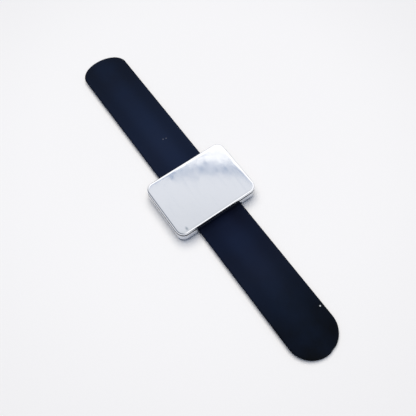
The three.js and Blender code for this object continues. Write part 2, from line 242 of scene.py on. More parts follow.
# Stainless steel sheet, pressed and then polished on a mop: close to a mirror, broken by fine wipe
# marks and hairlines, a slow ripple left by the press, and blue-grey smears of handling. Low down
# by the floor, under the edge, it is painted dull dark grey: painted shade of its contact with the
# floor.
steelLook = {
    "colour": "#e0e3e9",
    "smearColour": "#b4bfd0",
    "smearShare": 0.10,
    "smearSize": 5,
    "smearSpan": (0.52, 0.78),      # of the noise: none under the first, in full over the second
    "roughness": (0.03, 0.10),      # clean and smeared
    "glossSpan": (0.3, 0.75),
    "rippleSize": 7,
    "rippleDepth": 0.010,
    "hairlineSize": 0.25,
    "hairlineDepth": 0.0015,
    "wipe": (0.16, 1.0, 1.0),       # hairlines and smears are drawn out along X
    "darkSpotPlace": (16.6, -21.3, 10.4),
    "darkSpotShape": (0.75, 1.25, 1.0),
    "darkSpotSpan": (1.69, 0.39),     # gone past the first radius, full within the second
    "darkSpotFray": 0.78,             # and ragged by this
    "darkSpotColour": "#8b97a3",
    "darkSpotShare": 0.9,
    # painted shade of the floor contact, low on the case
    "baseShadeSpan": (2.4, 1.68),    # gone over the first height, full under the second
    "baseShadeColour": "#777d86",
    "baseShadeRoughness": 0.15,
}


def steelFinish(look):
    material, tree, shader = newFinish("polished_pressed_steel")
    place = addNode(tree, "TexCoord").outputs["Object"]
    wiped = addNode(tree, "Mapping", {"Vector": place, "Scale": look["wipe"]})
    ripple = addNode(tree, "TexNoise", {
        "Vector": place, "Scale": 1 / (look["rippleSize"] * mm), "Detail": 2.0, "Roughness": 0.4})
    hairline = addNode(tree, "TexNoise", {
        "Vector": wiped, "Scale": 1 / (look["hairlineSize"] * mm), "Detail": 4.0,
        "Roughness": 0.65})
    smear = addNode(tree, "TexNoise", {
        "Vector": wiped, "Scale": 1 / (look["smearSize"] * mm), "Detail": 5.0, "Roughness": 0.6,
        "Distortion": 0.6})
    smearShare = addNode(tree, "MapRange", {
        "Value": smear, **ends("From", look["smearSpan"]), "To Max": look["smearShare"]})
    tone = addNode(tree, "MixRGB", {
        "Fac": smearShare, "Color1": linear(look["colour"]), "Color2": linear(look["smearColour"])})
    # one small darker blue-grey spot near the lid's corner, ragged by the hairlines' noise
    offset = addNode(tree, "VectorMath", {
        0: place, 1: tuple(part * mm for part in look["darkSpotPlace"])}, operation="SUBTRACT")
    oval = addNode(tree, "VectorMath", {0: offset, 1: look["darkSpotShape"]}, operation="MULTIPLY")
    reach = addNode(tree, "VectorMath", {0: oval}, operation="LENGTH")
    frayed = addNode(tree, "Math", {
        0: hairline, 1: look["darkSpotFray"] * mm,
        2: reach.outputs["Value"]}, operation="MULTIPLY_ADD")
    darkSpot = addNode(tree, "MapRange", {
        "Value": frayed, **ends("From", look["darkSpotSpan"], mm), "To Max": look["darkSpotShare"]})
    marked = addNode(tree, "MixRGB", {
        "Fac": darkSpot, "Color1": tone, "Color2": linear(look["darkSpotColour"])})
    upright = addNode(tree, "SeparateXYZ", {"Vector": place})
    # painted shade: under the edge, near the floor, the steel is painted dark grey and made rougher
    paintedBaseShade = addNode(tree, "MapRange", {
        "Value": upright.outputs["Z"], **ends("From", look["baseShadeSpan"], mm)})
    skin = addNode(tree, "MixRGB", {
        "Fac": paintedBaseShade, "Color1": marked, "Color2": linear(look["baseShadeColour"])})
    gloss = addNode(tree, "MapRange", {
        "Value": smear, **ends("From", look["glossSpan"]), **ends("To", look["roughness"])})
    dull = addNode(tree, "Math", {
        0: paintedBaseShade, 1: look["baseShadeRoughness"], 2: gloss}, operation="MULTIPLY_ADD")
    wave = addNode(tree, "Bump", {
        "Strength": 1.0, "Distance": look["rippleDepth"] * mm, "Height": ripple})
    scratch = addNode(tree, "Bump", {
        "Strength": 0.3, "Distance": look["hairlineDepth"] * mm, "Height": hairline,
        "Normal": wave})
    fillInputs(tree, shader, {
        "Base Color": skin, "Roughness": dull, "Normal": scratch, "Metallic": 1.0})
    return material


# Sheared edge of the steel sheet, left as the press cut it: dark grey, with fine tear marks. On the
# shell's shoulder this dark grey is also painted shade of the parting gap under the lid
shearedShadeLook = {
    "name": "sheared_steel_edge_painted_shade",
    "size": 0.3, "pattern": {"Detail": 3.0},
    "tones": [(0.0, "#33363b"), (1.0, "#4d5158")],
    "relief": 0.5, "depth": 0.01, "shader": {"Metallic": 1.0, "Roughness": 0.45},
}
# Hardened spring steel strip, cold rolled: grey and satin, with fine rolling lines along its length
springLook = {
    "name": "cold_rolled_spring_steel",
    "bends": True, "stretch": (0.03, 1.0, 1.0), "size": 0.3, "pattern": {"Detail": 3.0},
    "tones": [(0.0, "#737d88"), (1.0, "#9aa3ad")],
    "relief": 0.3, "depth": 0.002, "satin": (0.28, 0.45), "shader": {"Metallic": 1.0},
}
# Zinc electroplate on steel: pale grey with a slightly warm and slightly blue cloud in its
# passivation
zincLook = {
    "name": "zinc_plated_steel",
    "size": 1.8, "pattern": {"Detail": 3.0},
    "tones": [(0.3, "#b3b9c2"), (0.5, "#c1c3c4"), (0.7, "#c8c3b6")],
    "relief": 0.2, "depth": 0.004, "satin": (0.28, 0.42), "shader": {"Metallic": 1.0},
}
# Hard ferrite, pressed, sintered and ground: charcoal and dull, with pale and dark grains
ferriteLook = {
    "name": "ground_hard_ferrite",
    "grains": True, "size": 0.4,
    "tones": [(0.0, "#2f3033"), (1.0, "#4a4b4f")],
    "relief": 0.5, "depth": 0.01, "shader": {"Roughness": 0.72},
}
# Nylon, injection moulded black: an even, slightly silky skin with spark-eroded grain
nylonLook = {
    "name": "black_moulded_nylon",
    "size": 0.3, "pattern": {"Detail": 2.0},
    "tones": [(0.0, "#111215"), (1.0, "#1d1e22")],
    "relief": 0.4, "depth": 0.01, "shader": {"Roughness": 0.6, "Specular IOR Level": 0.2},
}
# Double-sided transfer tape: a translucent cream acrylic film on tissue, with short pale fibres
tapeLook = {
    "name": "tissue_transfer_tape",
    "stretch": (1.0, 0.25, 1.0), "size": 0.5, "pattern": {"Detail": 3.0, "Distortion": 1.2},
    "tones": [(0.0, "#cdc8b8"), (1.0, "#e6e2d6")],
    "relief": 0.3, "depth": 0.01, "shader": {"Roughness": 0.55},
}


# One pattern, a noise or the cells of a grain, moves such a finish's tone and relief, and with
# satin its roughness between two values. What bends has its pattern laid on its flat shape.
def patternedFinish(look):
    material, tree, shader = newFinish(look["name"])
    if look.get("bends"):
        place = addNode(tree, "Attribute", attribute_name="flatPlace").outputs["Vector"]
    else:
        place = addNode(tree, "TexCoord").outputs["Object"]
    if "stretch" in look:
        place = addNode(tree, "Mapping", {"Vector": place, "Scale": look["stretch"]})
    inputs = {"Vector": place, "Scale": 1 / (look["size"] * mm), **look.get("pattern", {})}
    kind = "TexVoronoi" if look.get("grains") else "TexNoise"
    pattern = addNode(tree, kind, inputs)
    tone = addNode(tree, "ValToRGB", {"Fac": pattern})
    setStops(tone.color_ramp, look["tones"])
    relief = addNode(tree, "Bump", {
        "Strength": look["relief"], "Distance": look["depth"] * mm, "Height": pattern})
    if "satin" in look:
        satin = addNode(tree, "MapRange", {"Value": pattern, **ends("To", look["satin"])})
        fillInputs(tree, shader, {"Roughness": satin})
    fillInputs(tree, shader, {"Base Color": tone, "Normal": relief, **look["shader"]})
    return material


silicone = siliconeFinish(siliconeLook)
polishedSteel = steelFinish(steelLook)
shearedShadeSteel = patternedFinish(shearedShadeLook)
springSteel = patternedFinish(springLook)
zincPlate = patternedFinish(zincLook)
ferrite = patternedFinish(ferriteLook)
blackNylon = patternedFinish(nylonLook)
transferTape = patternedFinish(tapeLook)
print("materials made")


band = {
    "width": 30.0,
    "thickness": 2.2,
    "middle": 2.2,          # height of the middle layer over the floor, on the centre line
    "camber": 0.8,          # rise of the long edges, as in a measuring tape
    "firstHinge": 21.0,
    "rightReach": 114.3,
    "leftReach": 120.7,
    "rightEndRound": 14.4,
    "leftEndRound": 11.0,
    "tipLength": 16.4,
    "links": 8,
    "centerHalf": 15.0,     # the stretch inside the case, which never bends
    "firstBend": 2.2,       # the first bend starts and ends this far from its hinge
    "bendShare": 0.6,       # and each later one this share of the way to its neighbours
    "ridge": 0.05,          # parting ridge left by the mould on the rim
    "ridgeHeight": 0.12,
    "ridgeReach": 0.9,      # share of the rim's radius, inwards, past which there is none
    "crispAngle": 50,       # edges of the sleeve that are flatter than this are shaded smooth
    "dentPlace": 4.4,       # a bruise has pushed the right tip's outline in here
    "dentWidth": 1.7,
    "dentDepth": 0.3,
    "dentReach": 3,
    "rimSteps": 8,
    "flatSteps": 26,
    "rowSpacing": 0.5,
    "endRows": 44,
    "beyond": 50,           # a piece with open ends takes its shape from a tip this far beyond it
}
channel = {"width": 25.5, "thickness": 0.8, "setback": 2.75, "endRound": 8.25}
spring = {"width": 25.0, "thickness": 0.3, "setback": 3.0, "endRound": 8.0}


# Places round a flat strip's section, as shares of its half width and as the side they are on (1 on
# top, -1 below, 0 on the two edges): from the +Y edge over the top to the -Y edge and back below.
# The rims are spaced as points on a quarter circle, and the flat between them evenly.
def sectionPlaces(halfWidth, edgeRadius):
    angle = np.linspace(0, math.pi / 2, band["rimSteps"] + 1)
    rim = (halfWidth - edgeRadius * (1 - np.cos(angle))) / halfWidth
    flat = np.linspace(rim[-1], -rim[-1], band["flatSteps"] + 1)[1:-1]
    over = np.concatenate([rim, flat, -rim[::-1]])
    side = np.ones(over.size)
    side[[0, -1]] = 0
    return np.concatenate([over, over[-2:0:-1]]), np.concatenate([side, -side[-2:0:-1]])


# Rows of a cambered strip at places x along it. Half width shrinks as an ellipse over the round
# end; a point's height is the middle layer, plus the camber's parabola, plus or minus the rise of a
# round edge: the edge radius times the square root of 1 - (1 - distance from the outline / radius)
# squared.
def stripRows(x, width, thickness, tip, endRound, ridge=0.0):
    halfWidth = width / 2
    edgeRadius = thickness / 2
    share, side = sectionPlaces(halfWidth, edgeRadius)
    straightEnd = tip - endRound
    pastStraight = np.clip((x - straightEnd) / endRound, 0, 1)[:, None]
    y = share[None, :] * halfWidth * np.sqrt(1 - pastStraight ** 2)
    reachX = np.maximum(x - straightEnd, 0)[:, None]
    level = np.maximum(np.hypot(pastStraight, y / halfWidth), 1e-9)
    spoke = np.hypot(reachX, y) / level
    distance = np.where(reachX > 0, (1 - level) * spoke, halfWidth - np.abs(y))
    distance = np.where(level < 1e-6, halfWidth, distance)
    inwards = np.clip(distance / edgeRadius, 0, 1)
    rise = edgeRadius * np.sqrt(np.clip(1 - (1 - inwards) ** 2, 0, 1)) * side[None, :]
    height = band["middle"] + band["camber"] * (y / (band["width"] / 2)) ** 2 + rise
    outX = pastStraight / endRound
    outY = y / halfWidth ** 2
    outLength = np.maximum(np.hypot(outX, outY), 1e-12)
    proud = ridge * np.exp(-(rise / band["ridgeHeight"]) ** 2) * (inwards < band["ridgeReach"])
    ridgeX, ridgeY = proud * outX / outLength, proud * outY / outLength
    return np.stack([x[:, None] + ridgeX, y + ridgeY, height], axis=-1)


# Places of the rows of a stretch from start to end: evenly spaced, and where the strip ends in a
# round tip, closer and closer to it as the sine of evenly spaced angles
def rowPlaces(start, end, tip, endRound):
    straightEnd = min(end, tip - endRound)
    count = max(int(round((straightEnd - start) / band["rowSpacing"])), 2)
    straight = np.linspace(start, straightEnd, count + 1)
    if end < tip:
        return straight
    angle = np.linspace(0, math.pi / 2, band["endRows"] + 1)[1:]
    return np.concatenate([straight, straightEnd + endRound * np.sin(angle)])


# Closed tube of silicone between two places: its inner skin's rows from the far end back to the
# near one, then its outer skin's rows out again. Open ends are closed by a ring between the two
# skins.
def sleevePoints(start, end, reach, endRound):
    isTip = end >= reach
    innerTip = reach - channel["setback"] if isTip else reach + band["beyond"]
    outerTip = reach if isTip else reach + band["beyond"]
    innerEnd = innerTip if isTip else end
    innerX = rowPlaces(start, innerEnd, innerTip, channel["endRound"])[::-1]
    outerX = rowPlaces(start, end, outerTip, endRound)
    inner = stripRows(innerX, channel["width"], channel["thickness"], innerTip, channel["endRound"])
    outer = stripRows(outerX, band["width"], band["thickness"], outerTip, endRound, band["ridge"])
    points = np.concatenate([inner, outer])
    return points, gridFaces(*points.shape[:2], closeRows=not isTip)


# Bruised tip: its outline is pushed in by a bell curve of the distance from the dent, and less so
# with each millimetre back from the tip
def dented(points, reach):
    bell = np.exp(-((points[..., 1] - band["dentPlace"]) / band["dentWidth"]) ** 2)
    near = np.clip((points[..., 0] - reach + band["dentReach"]) / band["dentReach"], 0, 1)
    return points - np.stack([band["dentDepth"] * bell * near, 0 * bell, 0 * bell], axis=-1)


# Solid strip of spring steel between two places, cut square where it goes on in the next piece
def springPoints(start, end, reach):
    isTip = end >= reach
    tip = reach - spring["setback"] if isTip else reach + band["beyond"]
    x = rowPlaces(start, tip if isTip else end, tip, spring["endRound"])
    points = stripRows(x, spring["width"], spring["thickness"], tip, spring["endRound"])
    rows, columns = points.shape[:2]
    faces = [gridFaces(rows, columns), cutFaces(0, columns, True)]
    if not isTip:
        faces.append(cutFaces((rows - 1) * columns, columns, False))
    return points, np.concatenate(faces)


# Lays one piece of the band in its place: the left half is the right half turned half a turn about
# Z. A piece without bendPlaces rides on its first body; one with them keeps its place in its mesh.
def layPiece(name, node, shape, side, material, bodies, bendPlaces=None, crispAngle=35):
    points, faces = shape
    turn = -1 if side == "left" else 1
    points = points * np.array([turn, turn, 1])
    piece = makePiece(name, points, faces, [material], crispAngle, place=points)
    if bendPlaces is None:
        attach(piece, bodies[0])
    else:
        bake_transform(piece)
    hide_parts(node)


# One stretch of the sleeve with the spring strip in it
def layStretch(part, side, sleeveShape, springShape, bodies, bendPlaces=None):
    layPiece(f"silicone_sleeve_{part}", f"sleeve_{part}", sleeveShape, side, silicone,
             bodies, bendPlaces, band["crispAngle"])
    layPiece(f"spring_strip_{part}", f"spring_{part}", springShape, side, springSteel,
             bodies, bendPlaces)


# Half of the band: hinges are one pitch apart, and stretches meet midway between them
def layHalf(side, reach, endRound):
    pitch = (reach - band["firstHinge"] - band["tipLength"]) / (band["links"] - 1)
    for number in range(1, band["links"] + 1):
        hinge = band["firstHinge"] + (number - 1) * pitch
        start = band["centerHalf"] if number == 1 else hinge - pitch / 2
        end = reach if number == band["links"] else hinge + pitch / 2
        spread = band["firstBend"] if number == 1 else band["bendShare"] * pitch / 2
        bodies = ("case" if number == 1 else f"{side}_link_{number - 1}", f"{side}_link_{number}")
        points, faces = sleevePoints(start, end, reach, endRound)
        if side == "right" and number == band["links"]:
            points = dented(points, reach)
        layStretch(f"{side}_{number}", side, (points, faces), springPoints(start, end, reach),
                   bodies, (hinge - spread, hinge + spread))


# The stretch in the case, which only rides on it, and the two halves
def layBand():
    half = band["centerHalf"]
    sleeveShape = sleevePoints(-half, half, band["rightReach"], band["rightEndRound"])
    springShape = springPoints(-half, half, band["rightReach"])
    layStretch("center", "right", sleeveShape, springShape, ["case"])
    layHalf("right", band["rightReach"], band["rightEndRound"])
    layHalf("left", band["leftReach"], band["leftEndRound"])


layBand()
print("band laid")


case = {
    "length": 38.4,
    "width": 54.0,
    "height": 10.4,
    "cornerRadius": 5.0,
    "sheet": 0.8,
    "lidHeight": 1.9,
    "lidEdge": 1.2,
    "lidLip": 0.2,
    "lidCrown": 0.05,       # the lid's middle stands this much over its rim
    "lidRoll": 0.015,       # and its last stretch rolls down by this before the edge
    "lidRollShare": 0.94,
    "bottomEdge": 2.4,
    "shoulder": 0.1,
    "parting": 1.3,
    "slotTop": 4.4,
    "slotHalf": 15.6,
    "slotCorner": 0.8,
    "slotBreak": 0.22,      # sharp edges of the slot are broken by this radius
    "breakSteps": 5,
    "slotOver": 3,          # the slot's cutter reaches this far to either side of the wall's face
    "slotSteps": (8, 4),    # columns round each of its corners and along each side
    "crispAngle": 40,
    "cornerSteps": 18,
    "sideSteps": 22,
    "edgeSteps": 8,
    "lidRings": 60,
    "lidWallRings": 2,
    "insideRings": 16,
    "panRings": 14,
    "panWallRings": 5,
    "cutShare": 0.9,        # of the shoulder's height that the press cut
}


# Columns round a rounded rectangle: each has its corner's centre, as shares of the half sizes less
# the corner's radius, and an angle. A corner's columns sweep a quarter turn about its centre, and a
# side's columns slide from one centre to the next at one angle.
def outlineColumns(cornerSteps, sideSteps):
    corner = np.repeat(np.arange(4), cornerSteps + sideSteps)
    step = np.tile(np.arange(cornerSteps + sideSteps), 4)
    angle = (corner + np.minimum(step, cornerSteps) / cornerSteps) * math.pi / 2
    slide = np.maximum(step - cornerSteps, 0) / sideSteps
    signX = np.array([1, -1, -1, 1])
    signY = np.array([1, 1, -1, -1])
    after = (corner + 1) % 4
    shareX = signX[corner] * (1 - slide) + signX[after] * slide
    shareY = signY[corner] * (1 - slide) + signY[after] * slide
    return shareX, shareY, angle


# Stack of case outlines: each row has an inset from the case's wall, a height, and a share by which
# its outline shrinks to the middle
def caseRows(rows):
    inset, height, shrink = rows.T[:, :, None]
    shareX, shareY, angle = outlineColumns(case["cornerSteps"], case["sideSteps"])
    radius = np.maximum(case["cornerRadius"] - inset, 0)
    x = shareX * (case["length"] / 2 - case["cornerRadius"]) + radius * np.cos(angle)
    y = shareY * (case["width"] / 2 - case["cornerRadius"]) + radius * np.sin(angle)
    return np.stack([x * shrink, y * shrink, np.broadcast_to(height, x.shape)], axis=-1)


# Rows along a round edge: inset and height turn about a centre from one angle to another
def edgeRows(radius, centreInset, centreHeight, fromAngle, toAngle):
    angle = np.radians(np.linspace(fromAngle, toAngle, case["edgeSteps"] + 1))
    return np.stack([centreInset - radius * np.cos(angle), centreHeight + radius * np.sin(angle),
                     np.ones(angle.size)], axis=-1)


# Rows of a flat face between its rim and its middle point, evenly spaced at one inset and height
def flatRows(inset, height, count, outwards):
    shrink = np.linspace(0, 1, count + 1)[:-1]
    rows = np.stack([np.full(count, inset), np.full(count, height), shrink], axis=-1)
    return rows if outwards else rows[::-1]


# Rows of an upright wall, evenly spaced between two heights
def wallRows(inset, fromHeight, toHeight, count):
    height = np.linspace(fromHeight, toHeight, count + 2)[1:-1]
    return np.stack([np.full(count, inset), height, np.ones(count)], axis=-1)


# Pressed lid: rows go out along its ceiling, down inside, round the lip, up the wall, over the
# rolled edge and in to the middle. The top is a shallow crown: height falls with the square of the
# distance.
def pressedLid():
    top = case["height"]
    centre = top - case["lidEdge"]
    bottom = top - case["lidHeight"]
    rows = np.concatenate([
        flatRows(case["lidEdge"], top - case["sheet"], case["insideRings"], True),
        edgeRows(case["lidEdge"] - case["sheet"], case["lidEdge"], centre, 90, 0),
        wallRows(case["sheet"], centre, bottom, case["lidWallRings"]),
        edgeRows(case["lidLip"], case["sheet"] - case["lidLip"], bottom + case["lidLip"], 180, 270),
        edgeRows(case["lidLip"], case["lidLip"], bottom + case["lidLip"], -90, 0),
        wallRows(0, bottom + case["lidLip"], centre, case["lidWallRings"]),
        edgeRows(case["lidEdge"], case["lidEdge"], centre, 0, 90),
        flatRows(case["lidEdge"], top, case["lidRings"], False),
    ])
    points = caseRows(rows)
    halfX = case["length"] / 2 - case["lidEdge"]
    halfY = case["width"] / 2 - case["lidEdge"]
    away = np.clip((points[..., 0] / halfX) ** 2 + (points[..., 1] / halfY) ** 2, 0, 1)
    onTop = points[..., 2] > centre
    rolled = np.clip((rows[:, 2:] - case["lidRollShare"]) / (1 - case["lidRollShare"]), 0, 1) ** 2
    points[..., 2] -= np.where(onTop, case["lidCrown"] * away + case["lidRoll"] * rolled, 0)
    piece = makePiece("pressed_lid", points, gridFaces(*points.shape[:2]), [polishedSteel],
                      case["crispAngle"])
    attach(piece, "case")
    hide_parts("lid")


pressedLid()
print("lid pressed")


screw = {
    "inset": 5.2,           # from the case's walls
    "length": 4.8,
    "shank": 0.8,           # radii of shank and head
    "head": 1.5,
    "rim": 0.1,
    "rimRound": (0.05, 0.04),
    "recessWidth": 0.4,
    "recessLength": 1.8,
    "recessDepth": 0.45,
    "recessSlope": 0.06,
    "threadPitch": 0.7,
    "threadDepth": 0.14,
    "threadFade": 0.4,      # the thread grows to its depth over this, and ends short of the point
    "threadEnd": 0.5,
    "taper": 0.6,           # length of the point, and the radius and length of its last cone
    "pointRadius": 0.45,
    "pointLength": 0.15,
    "faceRings": 34,
    "shankRings": 40,
    "sides": 96,
    "clearance": 0.15,      # of its hole, whose edge is broken by the flare
    "holeFlare": 0.08,
    "holeSpan": (-2, 3),    # the hole's cutter goes from under the case to inside it
    "holeSides": 48,
}


# Turned form about an upright axis: each row is a radius and a height, each column an angle
def turnedRows(profile, sides, middle):
    profile = np.array(profile, dtype=float)
    angle = np.linspace(0, 2 * math.pi, sides, endpoint=False)
    x = middle[0] + profile[:, :1] * np.cos(angle)
    y = middle[1] + profile[:, :1] * np.sin(angle)
    return np.stack([x, y, np.broadcast_to(profile[:, 1:2], x.shape)], axis=-1)


# Block with a rounded-rectangle section in Y and Z that runs along X through a wall. It widens over
# the last stretch before the wall's face as a quarter circle does, so that what it cuts has broken
# edges.
def slotCutter():
    wall = case["length"] / 2
    radius = case["slotBreak"]
    angle = np.linspace(0, math.pi / 2, case["breakSteps"] + 1)
    edge = np.stack([wall - radius + radius * np.sin(angle), radius * (1 - np.cos(angle))], axis=-1)
    half = np.concatenate([
        [[wall - case["slotOver"], 0]], edge, [[wall + case["slotOver"], radius]]])
    shareY, shareZ, turn = outlineColumns(*case["slotSteps"])
    halfHeight = (case["slotTop"] - case["sheet"]) / 2
    corner = case["slotCorner"] + half[:, 1:2]
    y = shareY * (case["slotHalf"] - case["slotCorner"]) + corner * np.cos(turn)
    z = shareZ * (halfHeight - case["slotCorner"]) + corner * np.sin(turn)
    x = np.broadcast_to(half[:, :1], y.shape)
    rows = np.stack([x, y, z + case["sheet"] + halfHeight], axis=-1)
    firstPole = np.broadcast_to(rows[0].mean(axis=0), rows[:1].shape)
    lastPole = np.broadcast_to(rows[-1].mean(axis=0), rows[:1].shape)
    return np.concatenate([firstPole, rows, lastPole])


# Cuts the cutters out of a piece and removes them
def cutAway(piece, cutters):
    for cutter in cutters:
        modifier = piece.modifiers.new("cut", "BOOLEAN")
        modifier.operation = "DIFFERENCE"
        modifier.solver = "EXACT"
        modifier.object = cutter
    evaluated = piece.evaluated_get(bpy.context.evaluated_depsgraph_get())
    shape = bpy.data.meshes.new_from_object(evaluated)
    piece.modifiers.clear()
    old = piece.data
    piece.data = shape
    bpy.data.meshes.remove(old)
    for cutter in cutters:
        bpy.data.objects.remove(cutter)


# One screw in each corner of the case
def screwPlaces():
    x = case["length"] / 2 - screw["inset"]
    y = case["width"] / 2 - screw["inset"]
    return [(x, y), (-x, y), (-x, -y), (x, -y)]


# Pressed pan: rows go out along its underside, up the wall, over the shoulder, down inside and in
# to the middle. The slots and the four countersunk holes are then cut through it.
def lowerShell():
    rim = case["height"] - case["lidHeight"] - case["parting"]
    inner = case["bottomEdge"] - case["sheet"]
    rows = np.concatenate([
        flatRows(case["bottomEdge"], 0, case["panRings"], True),
        edgeRows(case["bottomEdge"], case["bottomEdge"], case["bottomEdge"], -90, 0),
        wallRows(0, case["bottomEdge"], rim - case["shoulder"], case["panWallRings"]),
        edgeRows(case["shoulder"], case["shoulder"], rim - case["shoulder"], 0, 90),
        [[case["sheet"], rim, 1]],
        wallRows(case["sheet"], rim, case["bottomEdge"], case["panWallRings"]),
        edgeRows(inner, case["bottomEdge"], case["bottomEdge"], 0, -90),
        flatRows(case["bottomEdge"], case["sheet"], case["panRings"], False),
    ])
    points = caseRows(rows)
    piece = makePiece("pressed_lower_shell", points, gridFaces(*points.shape[:2]), [polishedSteel],
                      case["crispAngle"])
    slot = slotCutter()
    cutters = []
    for turn in (1, -1):
        turned = slot * np.array([turn, turn, 1])
        cutters.append(makePiece("slot_cutter", turned, gridFaces(*slot.shape[:2]), []))
    head = screw["head"] + screw["clearance"]
    shank = screw["shank"] + screw["clearance"]
    coneTop = screw["head"] - screw["shank"] + screw["rim"]
    flare = screw["holeFlare"]
    under, inside = screw["holeSpan"]
    profile = [(0, under), (head + flare, under), (head + flare, 0), (head, flare),
               (head, screw["rim"]), (shank, coneTop), (shank, inside), (0, inside)]
    for middle in screwPlaces():
        hole = turnedRows(profile, screw["holeSides"], middle)
        cutters.append(makePiece("hole_cutter", hole, gridFaces(*hole.shape[:2]), []))
    cutAway(piece, cutters)
    # faces of the rim, which the press cut, are those whose middles lie in the shoulder's height;
    # their dark sheared finish is also painted shade of the parting gap under the lid
    mesh = piece.data
    middles = np.empty(len(mesh.polygons) * 3)
    mesh.polygons.foreach_get("center", middles)
    onShadedRim = middles.reshape(-1, 3)[:, 2] > (rim - case["shoulder"] * case["cutShare"]) * mm
    mesh.materials.append(shearedShadeSteel)
    mesh.polygons.foreach_set("material_index", onShadedRim.astype(np.int32))
    mesh.polygons.foreach_set("use_smooth", np.ones(len(mesh.polygons), dtype=bool))
    mesh.set_sharp_from_angle(angle=math.radians(case["crispAngle"]))
    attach(piece, "case")
    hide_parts("lower_shell")


lowerShell()
print("lower shell pressed")


# Share of full depth at a point of the head: 0 outside the cross, and in either of its bars the
# distance from the bar's nearest edge over the width of the slope, up to 1
def crossDepth(x, y):
    def bar(along, across):
        insideEnd = (screw["recessLength"] / 2 - np.abs(along)) / screw["recessSlope"]
        insideSide = (screw["recessWidth"] / 2 - np.abs(across)) / screw["recessSlope"]
        return np.clip(np.minimum(insideEnd, insideSide), 0, 1)
    return np.maximum(bar(x, y), bar(y, x))


# Countersunk tapping screw: a face with a cross pressed into it, a cone, and a shank whose radius
# follows a triangle wave of height less a share of the angle, which is a thread
def tappingScrew(number, middle):
    coneTop = screw["head"] - screw["shank"] + screw["rim"]
    faceRadii = np.linspace(0, screw["head"] - screw["rimRound"][0], screw["faceRings"])
    shankHeights = np.linspace(coneTop, screw["length"] - screw["taper"], screw["shankRings"])
    profile = [(radius, 0) for radius in faceRadii]
    profile += [(screw["head"], screw["rimRound"][1]), (screw["head"], screw["rim"])]
    profile += [(screw["shank"], height) for height in shankHeights]
    profile += [(screw["pointRadius"], screw["length"] - screw["pointLength"]),
                (0, screw["length"])]
    points = turnedRows(profile, screw["sides"], middle)
    x = points[..., 0] - middle[0]
    y = points[..., 1] - middle[1]
    onFace = (np.arange(len(profile)) < screw["faceRings"])[:, None]
    points[..., 2] += np.where(onFace, screw["recessDepth"] * crossDepth(x, y), 0)
    height = points[..., 2]
    turn = np.arctan2(y, x) / (2 * math.pi)
    wave = np.abs(2 * ((height / screw["threadPitch"] - turn) % 1) - 1)
    grown = np.clip((height - coneTop) / screw["threadFade"], 0, 1)
    left = np.clip((screw["length"] - screw["threadEnd"] - height) / screw["threadFade"], 0, 1)
    pull = 1 - wave * grown * left * screw["threadDepth"] / screw["shank"]
    points[..., 0] = middle[0] + x * pull
    points[..., 1] = middle[1] + y * pull
    piece = makePiece(f"countersunk_screw_{number}", points, gridFaces(*points.shape[:2]),
                      [zincPlate], case["crispAngle"])
    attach(piece, "case")
    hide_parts(f"case_screw_{number}")


for number, middle in enumerate(screwPlaces(), start=1):
    tappingScrew(number, middle)
print("screws turned")


# Pieces that keep the frame's shapes, in their real finishes
keptFinishes = {
    "carrier": blackNylon,
    "keeper_plate": zincPlate,
    "magnet_front": ferrite,
    "magnet_back": ferrite,
    "adhesive_sheet": transferTape,
}
for name, finish in keptFinishes.items():
    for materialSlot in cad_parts[name].material_slots:
        materialSlot.material = finish
print("kept pieces finished")


studio = {
    "floorColour": "#f7f7f9",
    "floorEdgeColour": "#efeff1",
    "floorSize": 6.0,               # in metres
    "falloffMiddle": (-35, 22, 0),    # painted light: the floor is palest here
    "falloffSpan": (90, 230),         # and greys between these distances from it, a painted fall-off of light
    "fibreSize": 0.8,
    "fibreTone": (0.985, 1.015),
    "keyColour": (1.0, 0.925, 0.79),
    "keyShare": 0.763,              # of the floor's light
    "keyElevation": 75.0,
    "keyAzimuth": 165.0,            # from +X towards +Y
    "keySpread": 50.0,
    "keyDistance": 0.6,             # in metres
    "lowAmbient": (0.021, 0.025, 0.033, 1.0),  # what the tent gives every surface from its walls,
    "highAmbient": (0.55, 0.681, 0.936, 1.0),  # and from its top,
    "overheadPower": 3.0,           # and how fast it brightens upwards
    "dimWall": (0.33, 0.35, 0.39, 1.0),  # what polished metal sees of the walls
    "brightWall": (1.46, 1.43, 1.39, 1.0),
    "wallSpan": (-0.7, 0.15),       # dim under the first Y, bright over the second
    "horizonShare": 0.12,           # what is left of the walls' light at the horizon
    "horizonSpan": (0.02, 0.34),    # and the heights between which it comes back
    "clothTone": (0.985, 0.99, 1.01, 1.0),  # the tent's top, and its middle overhead
    "zenithTone": (0.83, 0.84, 0.85, 1.0),
    "zenithSpan": (0.88, 0.97),
    "seamColour": "#9db0cd",
    "seamHeight": 60.6,             # where the tent's wall meets its top, in degrees
    "seamWidth": 1.25,
    "wallFade": 1.0,                # degrees over which the wall ends under the seam
    "foldScale": 260.0,
    "foldStretch": (0.22, 1.0, 0.22),
    "foldReach": 6.5,               # degrees by which the folds make the seam ragged
}


# The key lamp is a soft round light so far off that its place doesn't matter. It gives the floor
# its share of full white: energy is pi times the share over the sine of its elevation.
def keyLamp():
    azimuth = math.radians(studio["keyAzimuth"])
    elevation = math.radians(studio["keyElevation"])
    data = bpy.data.lights.new("key_lamp", "SUN")
    data.energy = math.pi * studio["keyShare"] / math.sin(elevation)
    data.angle = math.radians(studio["keySpread"])
    data.color = studio["keyColour"]
    lamp = bpy.data.objects.new("key_lamp", data)
    flat = studio["keyDistance"] * math.cos(elevation)
    lamp.location = (flat * math.cos(azimuth), flat * math.sin(azimuth),
                     studio["keyDistance"] * math.sin(elevation))
    lamp.rotation_euler = (0, math.pi / 2 - elevation, azimuth)
    lamp.visible_glossy = False      # polished metal sees the tent instead
    bpy.context.scene.collection.objects.link(lamp)


